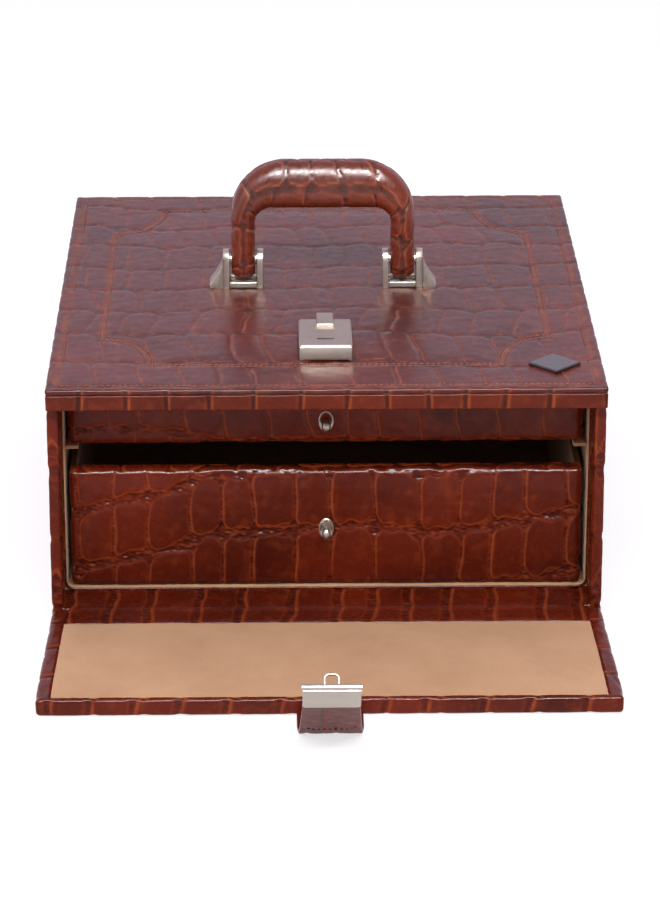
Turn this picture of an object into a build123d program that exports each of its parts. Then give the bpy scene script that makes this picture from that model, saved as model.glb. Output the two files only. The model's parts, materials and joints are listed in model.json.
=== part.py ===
from build123d import *
import math
import os

# Leather jewellery case with a drop-down front flap, two drawers, a strap lock and a top handle.
# Millimetres. X runs left to right, Y from the front to the back, Z up.
# The origin is at the middle of the case's underside. The flap lies open on the table at rest.

# Driving dimensions
case_width = 320.0
case_depth = 368.0
case_height = 148.5
leather = 1.2            # thickness of the covering leather
board = 4.1              # thickness of the side and back boards
base_thickness = 10.0
band_height = 13.0       # the band across the top of the front
lining = 2.7             # suede on its card backing
compartment_depth = 36.0  # from the band's face back to the lining's front rim
flap_thickness = 10.0
flap_proud = 3.0         # how far the closed flap stands in front of the band
flap_gap = 0.4           # between the closed flap and the edges that it meets
drawer_half_width = 149.8
drawer_board = 3.0
drawer_length = 316.0
runner_height = 99.5     # the upper drawer's runners, at their top
strap_thickness = 2.6
strap_half_width = 18.6
lock_height = 8.8
pivot_height = 17.0      # the handle's pins above the top of the case

# Places worked out from them
half_width = case_width / 2
half_depth = case_depth / 2
front = -half_depth
inner_half_width = half_width - 2 * leather - board
board_outer = half_width - leather
board_inner = board_outer - board
top_board_low = case_height - leather - 6.3
edge_front = front + flap_thickness - flap_proud + flap_gap
lining_front = front + compartment_depth
lining_half_width = board_inner - lining
back_board_face = half_depth - leather - board
back_lining_face = back_board_face - lining
floor_top = base_thickness + 1.7
hinge_y = front + flap_thickness - flap_proud
hinge_z = base_thickness
band_bottom = case_height - band_height
flap_reach = band_bottom - 1.0 - hinge_z
flap_tip = hinge_y - flap_reach
flap_back = hinge_y - 0.5
suede_half_width = 152.0
suede_tip = flap_tip + 3.5
suede_back = front - 14.0
crease_y = front - 141.3
crease_z = strap_thickness
pivot_z = case_height + pivot_height
lock_front = front + 48.0
lock_back = front + 95.0
lock_half_width = 15.5
lock_top = case_height + lock_height
staple_reach = 60.4      # from the strap's crease to the staple
staple_length = 10.5
slot_y = crease_y + 141.3 + staple_reach - flap_gap

os.makedirs("parts", exist_ok=True)


def save(piece, name):
    """Labels a finished piece and writes its STEP file."""
    piece.part.label = name
    export_step(piece.part, f"parts/{name}.step")


def block(x, y, z, mode=Mode.ADD):
    """A box between low and high corners, inside the piece being built."""
    with BuildSketch(Plane.XY.offset(z[0])) as outline:
        with Locations(((x[0] + x[1]) / 2, (y[0] + y[1]) / 2)):
            Rectangle(x[1] - x[0], y[1] - y[0])
    extrude(outline.sketch, amount=z[1] - z[0], mode=mode)


def panel(name, x, y, z):
    """A flat rectangular piece in its own node."""
    with BuildPart() as piece:
        block(x, y, z)
    save(piece, name)


def span(half):
    """The range from minus half to plus half."""
    return (-half, half)


def sided(side, low, high):
    """A range of X on one side of the middle plane."""
    return (min(side * low, side * high), max(side * low, side * high))


# ---------------------------------------------------------------- wooden carcass
rivet_x = (44.7, 52.7)
rivet_radius = 1.25
well_half_width = 5.2
well_half_length = 1.6
well_depth = 2.5

panel("base_board", span(board_outer), (edge_front + leather, half_depth - leather), (leather, base_thickness - leather))
for side, word in ((-1, "left"), (1, "right")):
    panel(
        f"{word}_side_board",
        sided(side, board_inner, board_outer),
        (edge_front + leather, half_depth - leather),
        (base_thickness - leather, top_board_low),
    )
panel("back_board", span(board_inner), (back_board_face, half_depth - leather), (base_thickness - leather, top_board_low))
panel("front_rail", span(board_outer), (front + leather, front + 7.2), (band_bottom + leather, top_board_low))


def rivet_holes():
    """The four rivet holes of the handle brackets, through the piece being built."""
    with BuildSketch(Plane.XY.offset(case_height + 5)) as holes:
        with Locations([(side * x, 0) for side in (-1, 1) for x in rivet_x]):
            Circle(rivet_radius)
    extrude(holes.sketch, amount=-20, mode=Mode.SUBTRACT)


def staple_well():
    """The well under the lock's slot, cut into the piece being built."""
    block(
        span(well_half_width),
        (slot_y - well_half_length, slot_y + well_half_length),
        (case_height - well_depth, case_height + 3),
        mode=Mode.SUBTRACT,
    )


with BuildPart() as top_board:
    block(span(board_outer), (front + leather, half_depth - leather), (top_board_low, case_height - leather))
    rivet_holes()
    staple_well()
save(top_board, "top_board")

# ---------------------------------------------------------------- leather covering
with BuildPart() as base_leather:
    block(span(half_width), (edge_front, half_depth), (0, leather))
    block(span(board_outer), (edge_front, edge_front + leather), (leather, base_thickness - leather))
    block(span(inner_half_width), (edge_front, lining_front), (base_thickness - leather, base_thickness))
save(base_leather, "base_leather")

for side, word in ((-1, "left"), (1, "right")):
    with BuildPart() as side_leather:
        block(
            sided(side, board_outer, half_width),
            (edge_front, half_depth - leather),
            (leather, case_height - leather),
        )
        block(
            sided(side, inner_half_width, board_outer),
            (edge_front, edge_front + leather),
            (base_thickness - leather, top_board_low),
        )
        block(
            sided(side, inner_half_width, board_inner),
            (edge_front + leather, lining_front),
            (base_thickness - leather, top_board_low),
        )
    save(side_leather, f"{word}_side_leather")

panel("back_leather", span(half_width), (half_depth - leather, half_depth), (leather, case_height - leather))

with BuildPart() as top_leather:
    block(span(half_width), (front, half_depth), (case_height - leather, case_height))
    rivet_holes()
    staple_well()
save(top_leather, "top_leather")

with BuildPart() as front_rail_leather:
    block(span(half_width), (front, front + leather), (band_bottom, case_height - leather))
    for side in (-1, 1):
        block(
            sided(side, board_outer, half_width),
            (front + leather, edge_front),
            (band_bottom, case_height - leather),
        )
    block(span(board_outer), (front + leather, front + 7.2), (band_bottom, band_bottom + leather))
    block(span(inner_half_width), (front + 7.2, front + 8.4), (band_bottom, top_board_low))
    block(span(inner_half_width), (front + 8.4, lining_front), (top_board_low - leather, top_board_low))
save(front_rail_leather, "front_rail_leather")

# ---------------------------------------------------------------- suede lining of the compartment
panel("floor_lining", span(board_inner), (lining_front, back_board_face), (base_thickness - leather, floor_top))
for side, word in ((-1, "left"), (1, "right")):
    panel(
        f"{word}_wall_lining",
        sided(side, lining_half_width, board_inner),
        (lining_front, back_board_face),
        (floor_top, top_board_low),
    )
    panel(
        f"{word}_runner",
        sided(side, lining_half_width - 8, lining_half_width),
        (lining_front + 3, back_lining_face),
        (runner_height - 2, runner_height),
    )
panel("back_wall_lining", span(lining_half_width), (back_lining_face, back_board_face), (floor_top, top_board_low))
panel(
    "ceiling_lining",
    span(lining_half_width),
    (lining_front, back_lining_face),
    (top_board_low - lining, top_board_low),
)

# ---------------------------------------------------------------- blank badge on the top
badge_x = 131.9
badge_y = front + 38.0
badge_half = 15.1
with BuildPart() as badge:
    with BuildSketch(Plane.XY.offset(case_height)):
        with Locations((badge_x, badge_y)):
            Rectangle(badge_half * math.sqrt(2), badge_half * math.sqrt(2), rotation=45)
    extrude(amount=1.8)
    chamfer(badge.faces().sort_by(Axis.Z)[-1].edges(), 0.6)
save(badge, "badge")

# ---------------------------------------------------------------- lock on the top
lock_wall = 1.2
slider_front = front + 80.0
slider_half_width = 4.95
slider_travel = 4.0
stem_half_width = 2.2
stem_front = slider_front + 1.0
stem_back = slider_front + 4.0
plate_thickness = 0.8
catch_low = case_height + 3.0
catch_high = case_height + 5.2

with BuildPart() as lock_case:
    block(span(lock_half_width), (lock_front, lock_back), (case_height, lock_top))
    fillet(lock_case.edges().filter_by(Axis.Z), 1.5)
    chamfer(lock_case.faces().sort_by(Axis.Z)[-1].edges(), 0.7)
    block(
        span(lock_half_width - lock_wall),
        (lock_front + lock_wall, lock_back - lock_wall),
        (case_height, lock_top - lock_wall),
        mode=Mode.SUBTRACT,
    )
    block(span(4.9), (slot_y - 1.1, slot_y + 1.1), (lock_top - 3, lock_top + 1), mode=Mode.SUBTRACT)
    block(
        span(stem_half_width + 0.3),
        (stem_front - 0.3, stem_back + slider_travel + 0.3),
        (lock_top - 3, lock_top + 1),
        mode=Mode.SUBTRACT,
    )
save(lock_case, "lock_case")

with BuildPart() as lock_plate:
    block(
        span(lock_half_width - lock_wall),
        (lock_front + lock_wall, lock_back - lock_wall),
        (case_height, case_height + plate_thickness),
    )
    block(
        span(well_half_width),
        (slot_y - well_half_length, slot_y + well_half_length),
        (case_height - 1, case_height + 2),
        mode=Mode.SUBTRACT,
    )
save(lock_plate, "lock_plate")

with BuildPart() as lock_slider:
    block(span(slider_half_width), (slider_front, slider_front + 20.5), (lock_top + 0.1, lock_top + 2.1))
    chamfer(lock_slider.faces().sort_by(Axis.Z)[-1].edges(), 0.5)
    block(span(stem_half_width), (stem_front, stem_back), (catch_high, lock_top + 0.1))
save(lock_slider, "lock_slider")

with BuildPart() as lock_catch:
    block(span(2.2), (slot_y - 2.4, stem_front - 12), (catch_low, catch_high))
    block(span(6.0), (stem_front - 12, stem_back), (catch_low, catch_high))
save(lock_catch, "lock_catch")

with BuildPart() as lock_spring:
    with BuildSketch(Plane.XZ.offset(-stem_back)):
        with Locations((0, (catch_low + catch_high) / 2)):
            Circle(1.9)
            Circle(1.1, mode=Mode.SUBTRACT)
    extrude(amount=-(lock_back - lock_wall - stem_back - 0.05))
save(lock_spring, "lock_spring")

# ---------------------------------------------------------------- handle brackets
ear_thickness = 4.0
ear_inner = 36.4
gap_inner = ear_inner + ear_thickness
gap_outer = 57.0
ear_outer = gap_outer + ear_thickness
wing_outer = 69.4
foot_thickness = 1.6
ear_radius = 6.3
foot_half_depth = 8.0
pin_radius = 2.0
pin_bore = 2.05


def ear(x_low, x_high):
    """One upright ear of a bracket, rounded about the handle's pin."""
    with BuildSketch(Plane.YZ.offset(x_low)) as profile:
        with BuildLine():
            Polyline(
                (-ear_radius, pivot_z),
                (-foot_half_depth, case_height + foot_thickness),
                (foot_half_depth, case_height + foot_thickness),
                (ear_radius, pivot_z),
            )
            ThreePointArc((ear_radius, pivot_z), (0, pivot_z + ear_radius), (-ear_radius, pivot_z))
        make_face()
    extrude(profile.sketch, amount=x_high - x_low)


for side, word in ((-1, "left"), (1, "right")):
    with BuildPart() as bracket:
        block(
            sided(side, ear_inner, wing_outer),
            span(foot_half_depth),
            (case_height, case_height + foot_thickness),
        )
        ear(*sided(side, ear_inner, gap_inner))
        ear(*sided(side, gap_outer, ear_outer))
        with BuildSketch(Plane.XZ.offset(-6.5)):
            with BuildLine():
                Polyline(
                    (side * ear_outer, pivot_z + 2),
                    (side * wing_outer, case_height + foot_thickness),
                    (side * ear_outer, case_height + foot_thickness),
                    close=True,
                )
            make_face()
        extrude(amount=13)
        for end in (-1, 1):
            block(
                sided(side, gap_inner, gap_outer),
                sided(end, 5.2, foot_half_depth),
                (case_height + foot_thickness, case_height + foot_thickness + 3.2),
            )
        with BuildSketch(Plane.YZ.offset(side * (ear_inner - 1))):
            with Locations((0, pivot_z)):
                Circle(pin_bore)
        extrude(amount=side * (wing_outer - ear_inner + 2), mode=Mode.SUBTRACT)
        rivet_holes()
    save(bracket, f"{word}_handle_bracket")

with BuildPart() as bracket_rivets:
    for x in (-rivet_x[1], -rivet_x[0], rivet_x[0], rivet_x[1]):
        with BuildSketch(Plane.XY.offset(top_board_low)):
            with Locations((x, 0)):
                Circle(rivet_radius)
        extrude(amount=case_height + foot_thickness - top_board_low)
        with BuildSketch(Plane.XY.offset(case_height + foot_thickness)):
            with Locations((x, 0)):
                Circle(2.4)
        extrude(amount=0.8)
save(bracket_rivets, "bracket_rivets")

# ---------------------------------------------------------------- handle
handle_outer = 56.0
handle_inner = 41.2
grip_top = 227.0
grip_low = 199.0
handle_half_depth = 11.0
leg_low = pivot_z - 12.5
cover = 2.0


def arch(inset):
    """The handle's arch, standing on its two legs, made smaller all round by the inset."""
    with BuildSketch(Plane.XZ.offset(-(handle_half_depth - inset))) as profile:
        half = handle_outer - inset
        with BuildLine():
            FilletPolyline(
                (-half, leg_low + inset),
                (-half, grip_top - inset),
                (half, grip_top - inset),
                (half, leg_low + inset),
                radius=32 - inset,
            )
            Line((half, leg_low + inset), (-half, leg_low + inset))
        make_face()
        hole_half = handle_inner + inset
        with BuildLine():
            FilletPolyline(
                (-hole_half, leg_low - 10),
                (-hole_half, grip_low + inset),
                (hole_half, grip_low + inset),
                (hole_half, leg_low - 10),
                radius=9 + inset,
            )
            Line((hole_half, leg_low - 10), (-hole_half, leg_low - 10))
        make_face(mode=Mode.SUBTRACT)
    extrude(profile.sketch, amount=2 * (handle_half_depth - inset))


def rounded_feet(inset):
    """Rounds the lower ends of the handle's legs, seen from the side."""
    radius = handle_half_depth - inset
    with BuildSketch(Plane.YZ.offset(-handle_outer - 1)) as waste:
        with Locations((0, leg_low - 20 + inset + radius)):
            Rectangle(60, 40)
        with Locations((0, leg_low + inset + radius)):
            Circle(radius, mode=Mode.SUBTRACT)
    extrude(waste.sketch, amount=2 * handle_outer + 2, mode=Mode.SUBTRACT)


def pin_bores():
    """The holes for the two handle pins."""
    with BuildSketch(Plane.YZ.offset(-handle_outer - 1)) as bore:
        with Locations((0, pivot_z)):
            Circle(pin_radius)
    extrude(bore.sketch, amount=2 * handle_outer + 2, mode=Mode.SUBTRACT)


def rim_edges(part, depth):
    """The long front and back edges of the arch, above the feet."""
    return part.edges().filter_by(lambda e: abs(abs(e.center().Y) - depth) < 0.01 and e.center().Z > leg_low + 15)


with BuildPart() as handle_core:
    arch(cover)
    fillet(rim_edges(handle_core, handle_half_depth - cover), 4.5)
    rounded_feet(cover)
    pin_bores()
save(handle_core, "handle_core")

with BuildPart() as handle_leather:
    arch(0)
    fillet(rim_edges(handle_leather, handle_half_depth), 6.5)
    rounded_feet(0)
    pin_bores()
    add(handle_core.part, mode=Mode.SUBTRACT)
save(handle_leather, "handle_leather")

with BuildPart() as handle_pins:
    for side in (-1, 1):
        for low, high, radius in (
            (ear_inner - 0.5, ear_outer + 0.5, pin_radius),
            (gap_inner + 0.05, handle_inner, 3.3),
            (handle_outer, gap_outer - 0.05, 3.3),
        ):
            with BuildSketch(Plane.YZ.offset(sided(side, low, high)[0])):
                with Locations((0, pivot_z)):
                    Circle(radius)
            extrude(amount=high - low)
save(handle_pins, "handle_pins")

# ---------------------------------------------------------------- drop-down flap
flap_board_low = leather
flap_board_high = flap_thickness - 1.7
root_back = flap_tip + 22.0


def root_block(mode):
    """The strap's root, let into the flap's outer face and reaching past its free edge."""
    block(span(strap_half_width), (crease_y + 0.3, root_back), (0, strap_thickness), mode=mode)


with BuildPart() as flap_board:
    block(span(board_outer), (flap_tip + leather, flap_back - leather), (flap_board_low, flap_board_high))
    root_block(Mode.SUBTRACT)
save(flap_board, "flap_board")

with BuildPart() as flap_leather:
    block(span(half_width), (flap_tip, flap_back), (0, flap_thickness))
    fillet(flap_leather.edges().filter_by(Axis.Z), 1.5)
    block(
        span(board_outer),
        (flap_tip + leather, flap_back - leather),
        (flap_board_low, flap_board_high),
        mode=Mode.SUBTRACT,
    )
    block(span(suede_half_width), (suede_tip, suede_back), (flap_board_high, flap_thickness), mode=Mode.SUBTRACT)
    root_block(Mode.SUBTRACT)
save(flap_leather, "flap_leather")

panel("flap_lining", span(suede_half_width), (suede_tip, suede_back), (flap_board_high, flap_thickness))
panel("hinge_leather", span(suede_half_width), (suede_back, flap_back), (flap_thickness, flap_thickness + 0.9))

with BuildPart() as strap_root:
    root_block(Mode.ADD)
save(strap_root, "strap_root")

# ---------------------------------------------------------------- strap tongue and hasp
# The tongue's own frame: its origin on the crease, its Y along the tongue, its Z out of the inner side.
tongue_lean = 45.0
tongue_root_half = 17.3
tongue_end_half = 15.6
plate_start = 39.4
plate_end = 70.4
plate_sheet = 1.2
inner_sheet = 0.6
wire = 0.65
loop_half_width = 3.8
along = (0, -math.cos(math.radians(tongue_lean)), math.sin(math.radians(tongue_lean)))
inward = (0, math.sin(math.radians(tongue_lean)), math.cos(math.radians(tongue_lean)))


def tongue_plane(height=0.0):
    """A plane parallel to the tongue, at a height above its inner side."""
    origin = (0, crease_y + height * inward[1], crease_z + height * inward[2])
    return Plane(origin=origin, x_dir=(-1, 0, 0), z_dir=inward)


with BuildPart() as strap_tongue:
    with BuildSketch(tongue_plane(-strap_thickness)):
        with BuildLine():
            Polyline(
                (-tongue_root_half, 0.3),
                (tongue_root_half, 0.3),
                (tongue_end_half, 30),
                (tongue_end_half - 0.3, plate_end - plate_sheet),
                (-tongue_end_half + 0.3, plate_end - plate_sheet),
                (-tongue_end_half, 30),
                close=True,
            )
        make_face()
    extrude(amount=strap_thickness)
save(strap_tongue, "strap_tongue")

plate_middle = (plate_start + plate_end) / 2
with BuildPart() as hasp_plate:
    with BuildSketch(tongue_plane(-strap_thickness - plate_sheet)) as outer_sheet:
        with Locations((0, plate_middle)):
            Rectangle(2 * tongue_end_half, plate_end - plate_start)
        fillet(outer_sheet.vertices().group_by(Axis.Y)[0], 3)
    extrude(amount=plate_sheet)
    with BuildSketch(tongue_plane(-strap_thickness)):
        with Locations((0, plate_end - plate_sheet / 2)):
            Rectangle(2 * tongue_end_half, plate_sheet)
    extrude(amount=strap_thickness + inner_sheet)
    with BuildSketch(tongue_plane()):
        with Locations((0, plate_end - plate_sheet / 2 - 9)):
            Rectangle(2 * tongue_end_half, 18 + plate_sheet)
    extrude(amount=inner_sheet)
save(hasp_plate, "hasp_plate")

staple_plane = Plane(
    origin=(0, crease_y + staple_reach * along[1], crease_z + staple_reach * along[2]),
    x_dir=(1, 0, 0),
    z_dir=along,
)
with BuildPart() as hasp_staple:
    with BuildLine(staple_plane) as staple_path:
        FilletPolyline(
            (-loop_half_width, inner_sheet),
            (-loop_half_width, staple_length - wire),
            (loop_half_width, staple_length - wire),
            (loop_half_width, inner_sheet),
            radius=2.2,
        )
    with BuildSketch(Plane(origin=staple_path.line @ 0, z_dir=staple_path.line % 0)):
        Circle(wire)
    sweep(path=staple_path.line)
save(hasp_staple, "hasp_staple")

with BuildPart() as hasp_rivets:
    for x in (-10, 10):
        with BuildSketch(tongue_plane()):
            with Locations((x, plate_start + 6.6)):
                Circle(2.0)
        extrude(amount=0.5)
save(hasp_rivets, "hasp_rivets")

# ---------------------------------------------------------------- drawers
knob_reach = 12.0
rosette_thickness = 1.6


def drawer(word, face, bottom, top, front_thickness, knob_z):
    """One drawer: a padded front, a wooden box, a suede tray and a pull knob."""
    back_of_front = face + front_thickness
    box_back = face + drawer_length
    wall_top = top - 3.0
    with BuildPart() as front_board:
        block(
            span(drawer_half_width - leather),
            (face + leather, back_of_front - leather),
            (bottom + leather, top - leather),
        )
        knob_hole(face, knob_z)
    save(front_board, f"{word}_drawer_front")
    with BuildPart() as front_leather:
        block(span(drawer_half_width), (face, back_of_front), (bottom, top))
        fillet(front_leather.faces().sort_by(Axis.Y)[0].edges(), 2.0)
        block(
            span(drawer_half_width - leather),
            (face + leather, back_of_front - leather),
            (bottom + leather, top - leather),
            mode=Mode.SUBTRACT,
        )
        knob_hole(face, knob_z)
    save(front_leather, f"{word}_drawer_front_leather")
    with BuildPart() as sides:
        for side in (-1, 1):
            block(
                sided(side, drawer_half_width - drawer_board, drawer_half_width),
                (back_of_front, box_back),
                (bottom, wall_top),
            )
    save(sides, f"{word}_drawer_sides")
    inner = drawer_half_width - drawer_board
    panel(f"{word}_drawer_back", span(inner), (box_back - drawer_board, box_back), (bottom, wall_top))
    panel(f"{word}_drawer_bottom", span(inner), (back_of_front, box_back - drawer_board), (bottom, bottom + 2.5))
    with BuildPart() as tray:
        block(span(inner), (back_of_front, box_back - drawer_board), (bottom + 2.5, wall_top))
        block(
            span(inner - 1.5),
            (back_of_front + 1.5, box_back - drawer_board - 1.5),
            (bottom + 4.0, wall_top + 1),
            mode=Mode.SUBTRACT,
        )
    save(tray, f"{word}_drawer_lining")
    knob(word, face, back_of_front, knob_z)


def knob_hole(face, knob_z):
    """The hole for a knob's shank, through a drawer front."""
    with BuildSketch(Plane.XZ.offset(-(face - 5))) as hole:
        with Locations((0, knob_z)):
            Circle(1.5)
    extrude(hole.sketch, amount=-40, mode=Mode.SUBTRACT)


def knob(word, face, back_of_front, knob_z):
    """An oval rosette with a raised rim, and a ball knob on a short neck through it."""
    with BuildPart() as rosette:
        with BuildSketch(Plane.XZ.offset(-face)):
            with Locations((0, knob_z)):
                Ellipse(4.5, 6.8)
        extrude(amount=rosette_thickness)
        fillet(rosette.faces().sort_by(Axis.Y)[0].edges(), 0.7)
        knob_hole(face, knob_z)
    save(rosette, f"{word}_knob_rosette")
    ball_y = face - knob_reach + 2.6
    with BuildPart() as pull:
        with BuildSketch(Plane.XZ.offset(-ball_y)):
            with BuildLine():
                bulge = ThreePointArc((0.5, knob_z - 3.7), (2.6, knob_z), (0.5, knob_z + 3.7))
                Polyline(bulge @ 1, (0, knob_z + 3.7), (0, knob_z - 3.7), bulge @ 0)
            make_face()
        revolve(axis=Axis((0, ball_y, knob_z), (0, 0, 1)))
        with BuildSketch(Plane.XZ.offset(-(ball_y + 1))):
            with Locations((0, knob_z)):
                Circle(1.5)
        extrude(amount=-(back_of_front - 0.5 - ball_y - 1))
    save(pull, f"{word}_knob")


drawer("lower", lining_front, 12.2, 85.0, 12.0, 48.0)
drawer("upper", lining_front + 4.0, runner_height + 0.5, 131.0, 10.0, 114.0)
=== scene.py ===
import json
import math

import bmesh
import bpy
import numpy as np
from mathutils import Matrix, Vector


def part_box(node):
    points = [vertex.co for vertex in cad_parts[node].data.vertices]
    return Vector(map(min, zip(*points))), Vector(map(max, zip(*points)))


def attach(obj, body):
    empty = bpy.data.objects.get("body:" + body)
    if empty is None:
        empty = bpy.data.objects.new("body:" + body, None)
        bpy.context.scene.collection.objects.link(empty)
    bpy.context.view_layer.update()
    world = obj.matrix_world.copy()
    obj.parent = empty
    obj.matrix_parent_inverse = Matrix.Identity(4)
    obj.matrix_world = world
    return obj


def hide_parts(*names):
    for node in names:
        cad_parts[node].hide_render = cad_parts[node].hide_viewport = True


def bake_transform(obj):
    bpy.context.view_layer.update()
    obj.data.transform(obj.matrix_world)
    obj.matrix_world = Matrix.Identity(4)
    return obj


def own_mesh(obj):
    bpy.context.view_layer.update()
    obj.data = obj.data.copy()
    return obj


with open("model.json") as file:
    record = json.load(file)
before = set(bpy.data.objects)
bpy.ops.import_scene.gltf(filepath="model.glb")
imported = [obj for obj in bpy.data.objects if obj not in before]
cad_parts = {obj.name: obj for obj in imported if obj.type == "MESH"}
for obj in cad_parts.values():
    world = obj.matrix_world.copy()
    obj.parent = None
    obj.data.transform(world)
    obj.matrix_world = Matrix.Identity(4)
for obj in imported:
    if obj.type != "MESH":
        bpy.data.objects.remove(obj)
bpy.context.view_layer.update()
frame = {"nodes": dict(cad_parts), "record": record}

# The leather, suede and metal of the jewellery case, in the frame's place. Sizes are in millimetres
# until a mesh is made. X is the case's right, Y its back, Z up; the front band's face is at y = FRONT.

MM = 0.001


def node_box(name):
    """A CAD node's lowest and highest corner in millimetres."""
    low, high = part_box(name)
    return np.array(low) / MM, np.array(high) / MM


TOP_LOW, TOP_HIGH = node_box("top_leather")
BASE_LOW, BASE_HIGH = node_box("base_leather")
BAND_LOW, BAND_HIGH = node_box("front_rail_leather")
FLAP_LOW, FLAP_HIGH = node_box("flap_leather")
HALF_WIDTH = TOP_HIGH[0]
FRONT = TOP_LOW[1]
BACK = TOP_HIGH[1]
TOP = TOP_HIGH[2]
LIP = 3.9  # height of the top panel's edge, above the groove over the band
EDGE_FRONT = BASE_LOW[1]  # the side walls' front edges
WALL = 6.5  # thickness of a side wall in front of the lining
SUEDE_FRONT = node_box("floor_lining")[0][1]
HINGE = np.array([0.0, FRONT + 7.0, BASE_HIGH[2]])
CREASE = np.array([0.0, FRONT - 141.3, 2.6])
TONGUE_LEAN = math.radians(45)
LOCK_LOW, LOCK_HIGH = node_box("lock_case")
LOCK_MIDDLE = (LOCK_LOW[1] + LOCK_HIGH[1]) / 2
PIVOT_Z = 165.5  # height of the handle's pins
SEAM = 7.5  # from the top's edge to its stitching
FRAME_GAP = 3.2  # between the stitched frame's two seams

# ---------------------------------------------------------------- numbers that vary smoothly


def smooth(value, low, high):
    """0 below low, 1 above high, and a smooth step between them."""
    t = np.clip((value - low) / (high - low), 0, 1)
    return t * t * (3 - 2 * t)


def near(distance, width, power=2):
    """1 on a line and fading away from it."""
    return np.exp(-((distance / width) ** power))


def ripple(coords, size, seed, waves=9):
    """Smooth random hills about size across, mostly between -1 and 1."""
    rng = np.random.default_rng(seed)
    total = 0
    for _ in range(waves):
        way = rng.normal(size=len(coords))
        way = way / np.linalg.norm(way)
        pace = 2 * math.pi / size * rng.uniform(0.55, 1.6)
        phase = rng.uniform(0, 2 * math.pi)
        total = total + np.sin(pace * sum(w * c for w, c in zip(way, coords)) + phase)
    return total / math.sqrt(waves)


# ---------------------------------------------------------------- crocodile scales


def scales(u, v, look):
    """Rows of scales along u, from a style's numbers.

    Returns how far each point lies inside its scale's edge (negative in a groove), a number for each scale,
    and how strongly that edge's painted highlight shows: more on the edge that faces the light.
    """
    rows, seed, gaps = np.asarray(look["rows"], float), look["seed"], look["gaps"]
    sway, pitch, corner = look["sway"], look["pitch"], look["corner"]
    bent = v + sway * ripple((u, 0.4 * v), 110, seed) + 0.35 * sway * ripple((u, 0.7 * v), 28, seed + 1)
    if look["bend"]:
        bent = bent - look["bend"](u)
    row = np.clip(np.searchsorted(rows, bent) - 1, 0, len(rows) - 2)
    low, high = rows[row], rows[row + 1]
    gap = gaps[0] * (1 + 0.5 * ripple((u,), 17, seed + 9))
    across = np.minimum(bent - low, high - bent) - gap
    along = np.full_like(across, 1e3)
    mark = np.zeros_like(across)
    lit = np.where(bent - low < high - bent, 1.0, 0.35)
    reach = 700  # rows are longer than any panel
    for k in range(len(rows) - 1):
        here = row == k
        if not here.any():
            continue
        rng = np.random.default_rng(seed * 97 + (0 if look["aligned"] else k))
        slant = rng.normal() * look["lean"]
        middle = (rows[k] + rows[k + 1]) / 2
        place = u[here] + slant * (bent[here] - middle) + 0.8 * ripple((u[here], bent[here]), 30, seed + 5)
        count = int(2 * reach / pitch)
        walls = -reach + np.cumsum(pitch * rng.uniform(0.78, 1.25, count)) + rng.uniform(0, pitch)
        right = np.clip(np.searchsorted(walls, place), 1, count - 1)
        before, after = place - walls[right - 1], walls[right] - place
        along[here] = np.minimum(before, after) - gaps[1]
        nearer = along[here] < across[here]
        lit[here] = np.where(nearer, np.where(before < after, 1.0, 0.25), lit[here])
        mark[here] = np.random.default_rng(seed * 31 + k).random(count)[right]
    short = np.maximum(corner - np.stack([across, along]), 0)
    inside = np.where(
        (short > 0).all(0), corner - np.hypot(short[0], short[1]), np.minimum(across, along)
    )
    return inside, mark, lit


def wrinkles(u, v, seed):
    """Fine creases that run mostly along u, from -1 to 1."""
    fine = ripple((0.45 * u, v), 2.8, seed, 11)
    broad = ripple((0.3 * u, v), 5.5, seed + 3, 9)
    return np.clip(0.6 * fine + 0.5 * broad, -1, 1)


def embossed(u, v, look):
    """Height of the embossed leather, and its tone: painted highlight above 0 and painted shade below."""
    inside, mark, lit = scales(u, v, look)
    dome = smooth(inside, -look["gaps"][0], look["rise"]) + 0.25 * smooth(inside, 0, 9)
    groove = 1 - smooth(inside, -1.0, 0.6)
    creases = wrinkles(u, v, look["seed"] + 40)
    height = look["relief"] * (dome - 1.1) + look["crease"] * groove * creases
    height = height + 0.05 * ripple((u, v), 9, look["seed"] + 50)
    # Painted highlight: a light line inside each scale's edge, brighter on the edge that faces the light. Painted
    # shade darkens the grooves, or, where the style asks for it, the grooves' wrinkles get painted highlight on their
    # ridges and painted shade in their folds.
    line = lit * near(inside - look["line"], look["line"])
    tone = line * (1 - groove) + groove * (look["rubbed"] * (0.2 + 0.9 * creases) - (1 - look["rubbed"]) * 0.8)
    return height, np.clip(tone, -1, 1), mark


def style(rows, pitch, seed, **changes):
    """The numbers of one face's embossing."""
    look = dict(
        rows=rows, pitch=pitch, seed=seed, gaps=(1.0, 0.6), corner=5.0, lean=0.12, sway=3.0, relief=0.55,
        rise=2.2, crease=0.1, line=0.9, rubbed=0.25, bend=None, aligned=False,
    )
    look.update(changes)
    return look


def plain_rows(pitch, seed, reach=420):
    """Rows of scales from -reach to reach, all about as deep."""
    rng = np.random.default_rng(seed)
    count = int(2 * reach / pitch)
    return -reach + np.cumsum(pitch * rng.uniform(0.85, 1.15, count))


# ---------------------------------------------------------------- meshes


def grid_lines(low, high, radius, step):
    """Grid lines from low to high, closer together where the edge is rounded."""
    edge = radius * np.array([0, 0.3, 0.6])
    count = max(1, round((high - low - 2 * radius) / step))
    return np.concatenate([low + edge, np.linspace(low + radius, high - radius, count + 1), (high - edge)[::-1]])


def joined(points, faces):
    """Points that coincide become one."""
    micrometres = np.round(points * 1000).astype(np.int64)
    _, first, inverse = np.unique(micrometres, axis=0, return_index=True, return_inverse=True)
    return points[first], inverse.reshape(-1)[faces]


def grid_quads(index):
    """Faces between the points of a grid, whose numbers are given as rows."""
    return np.stack([index[:-1, :-1], index[1:, :-1], index[1:, 1:], index[:-1, 1:]], -1).reshape(-1, 4)


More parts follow.
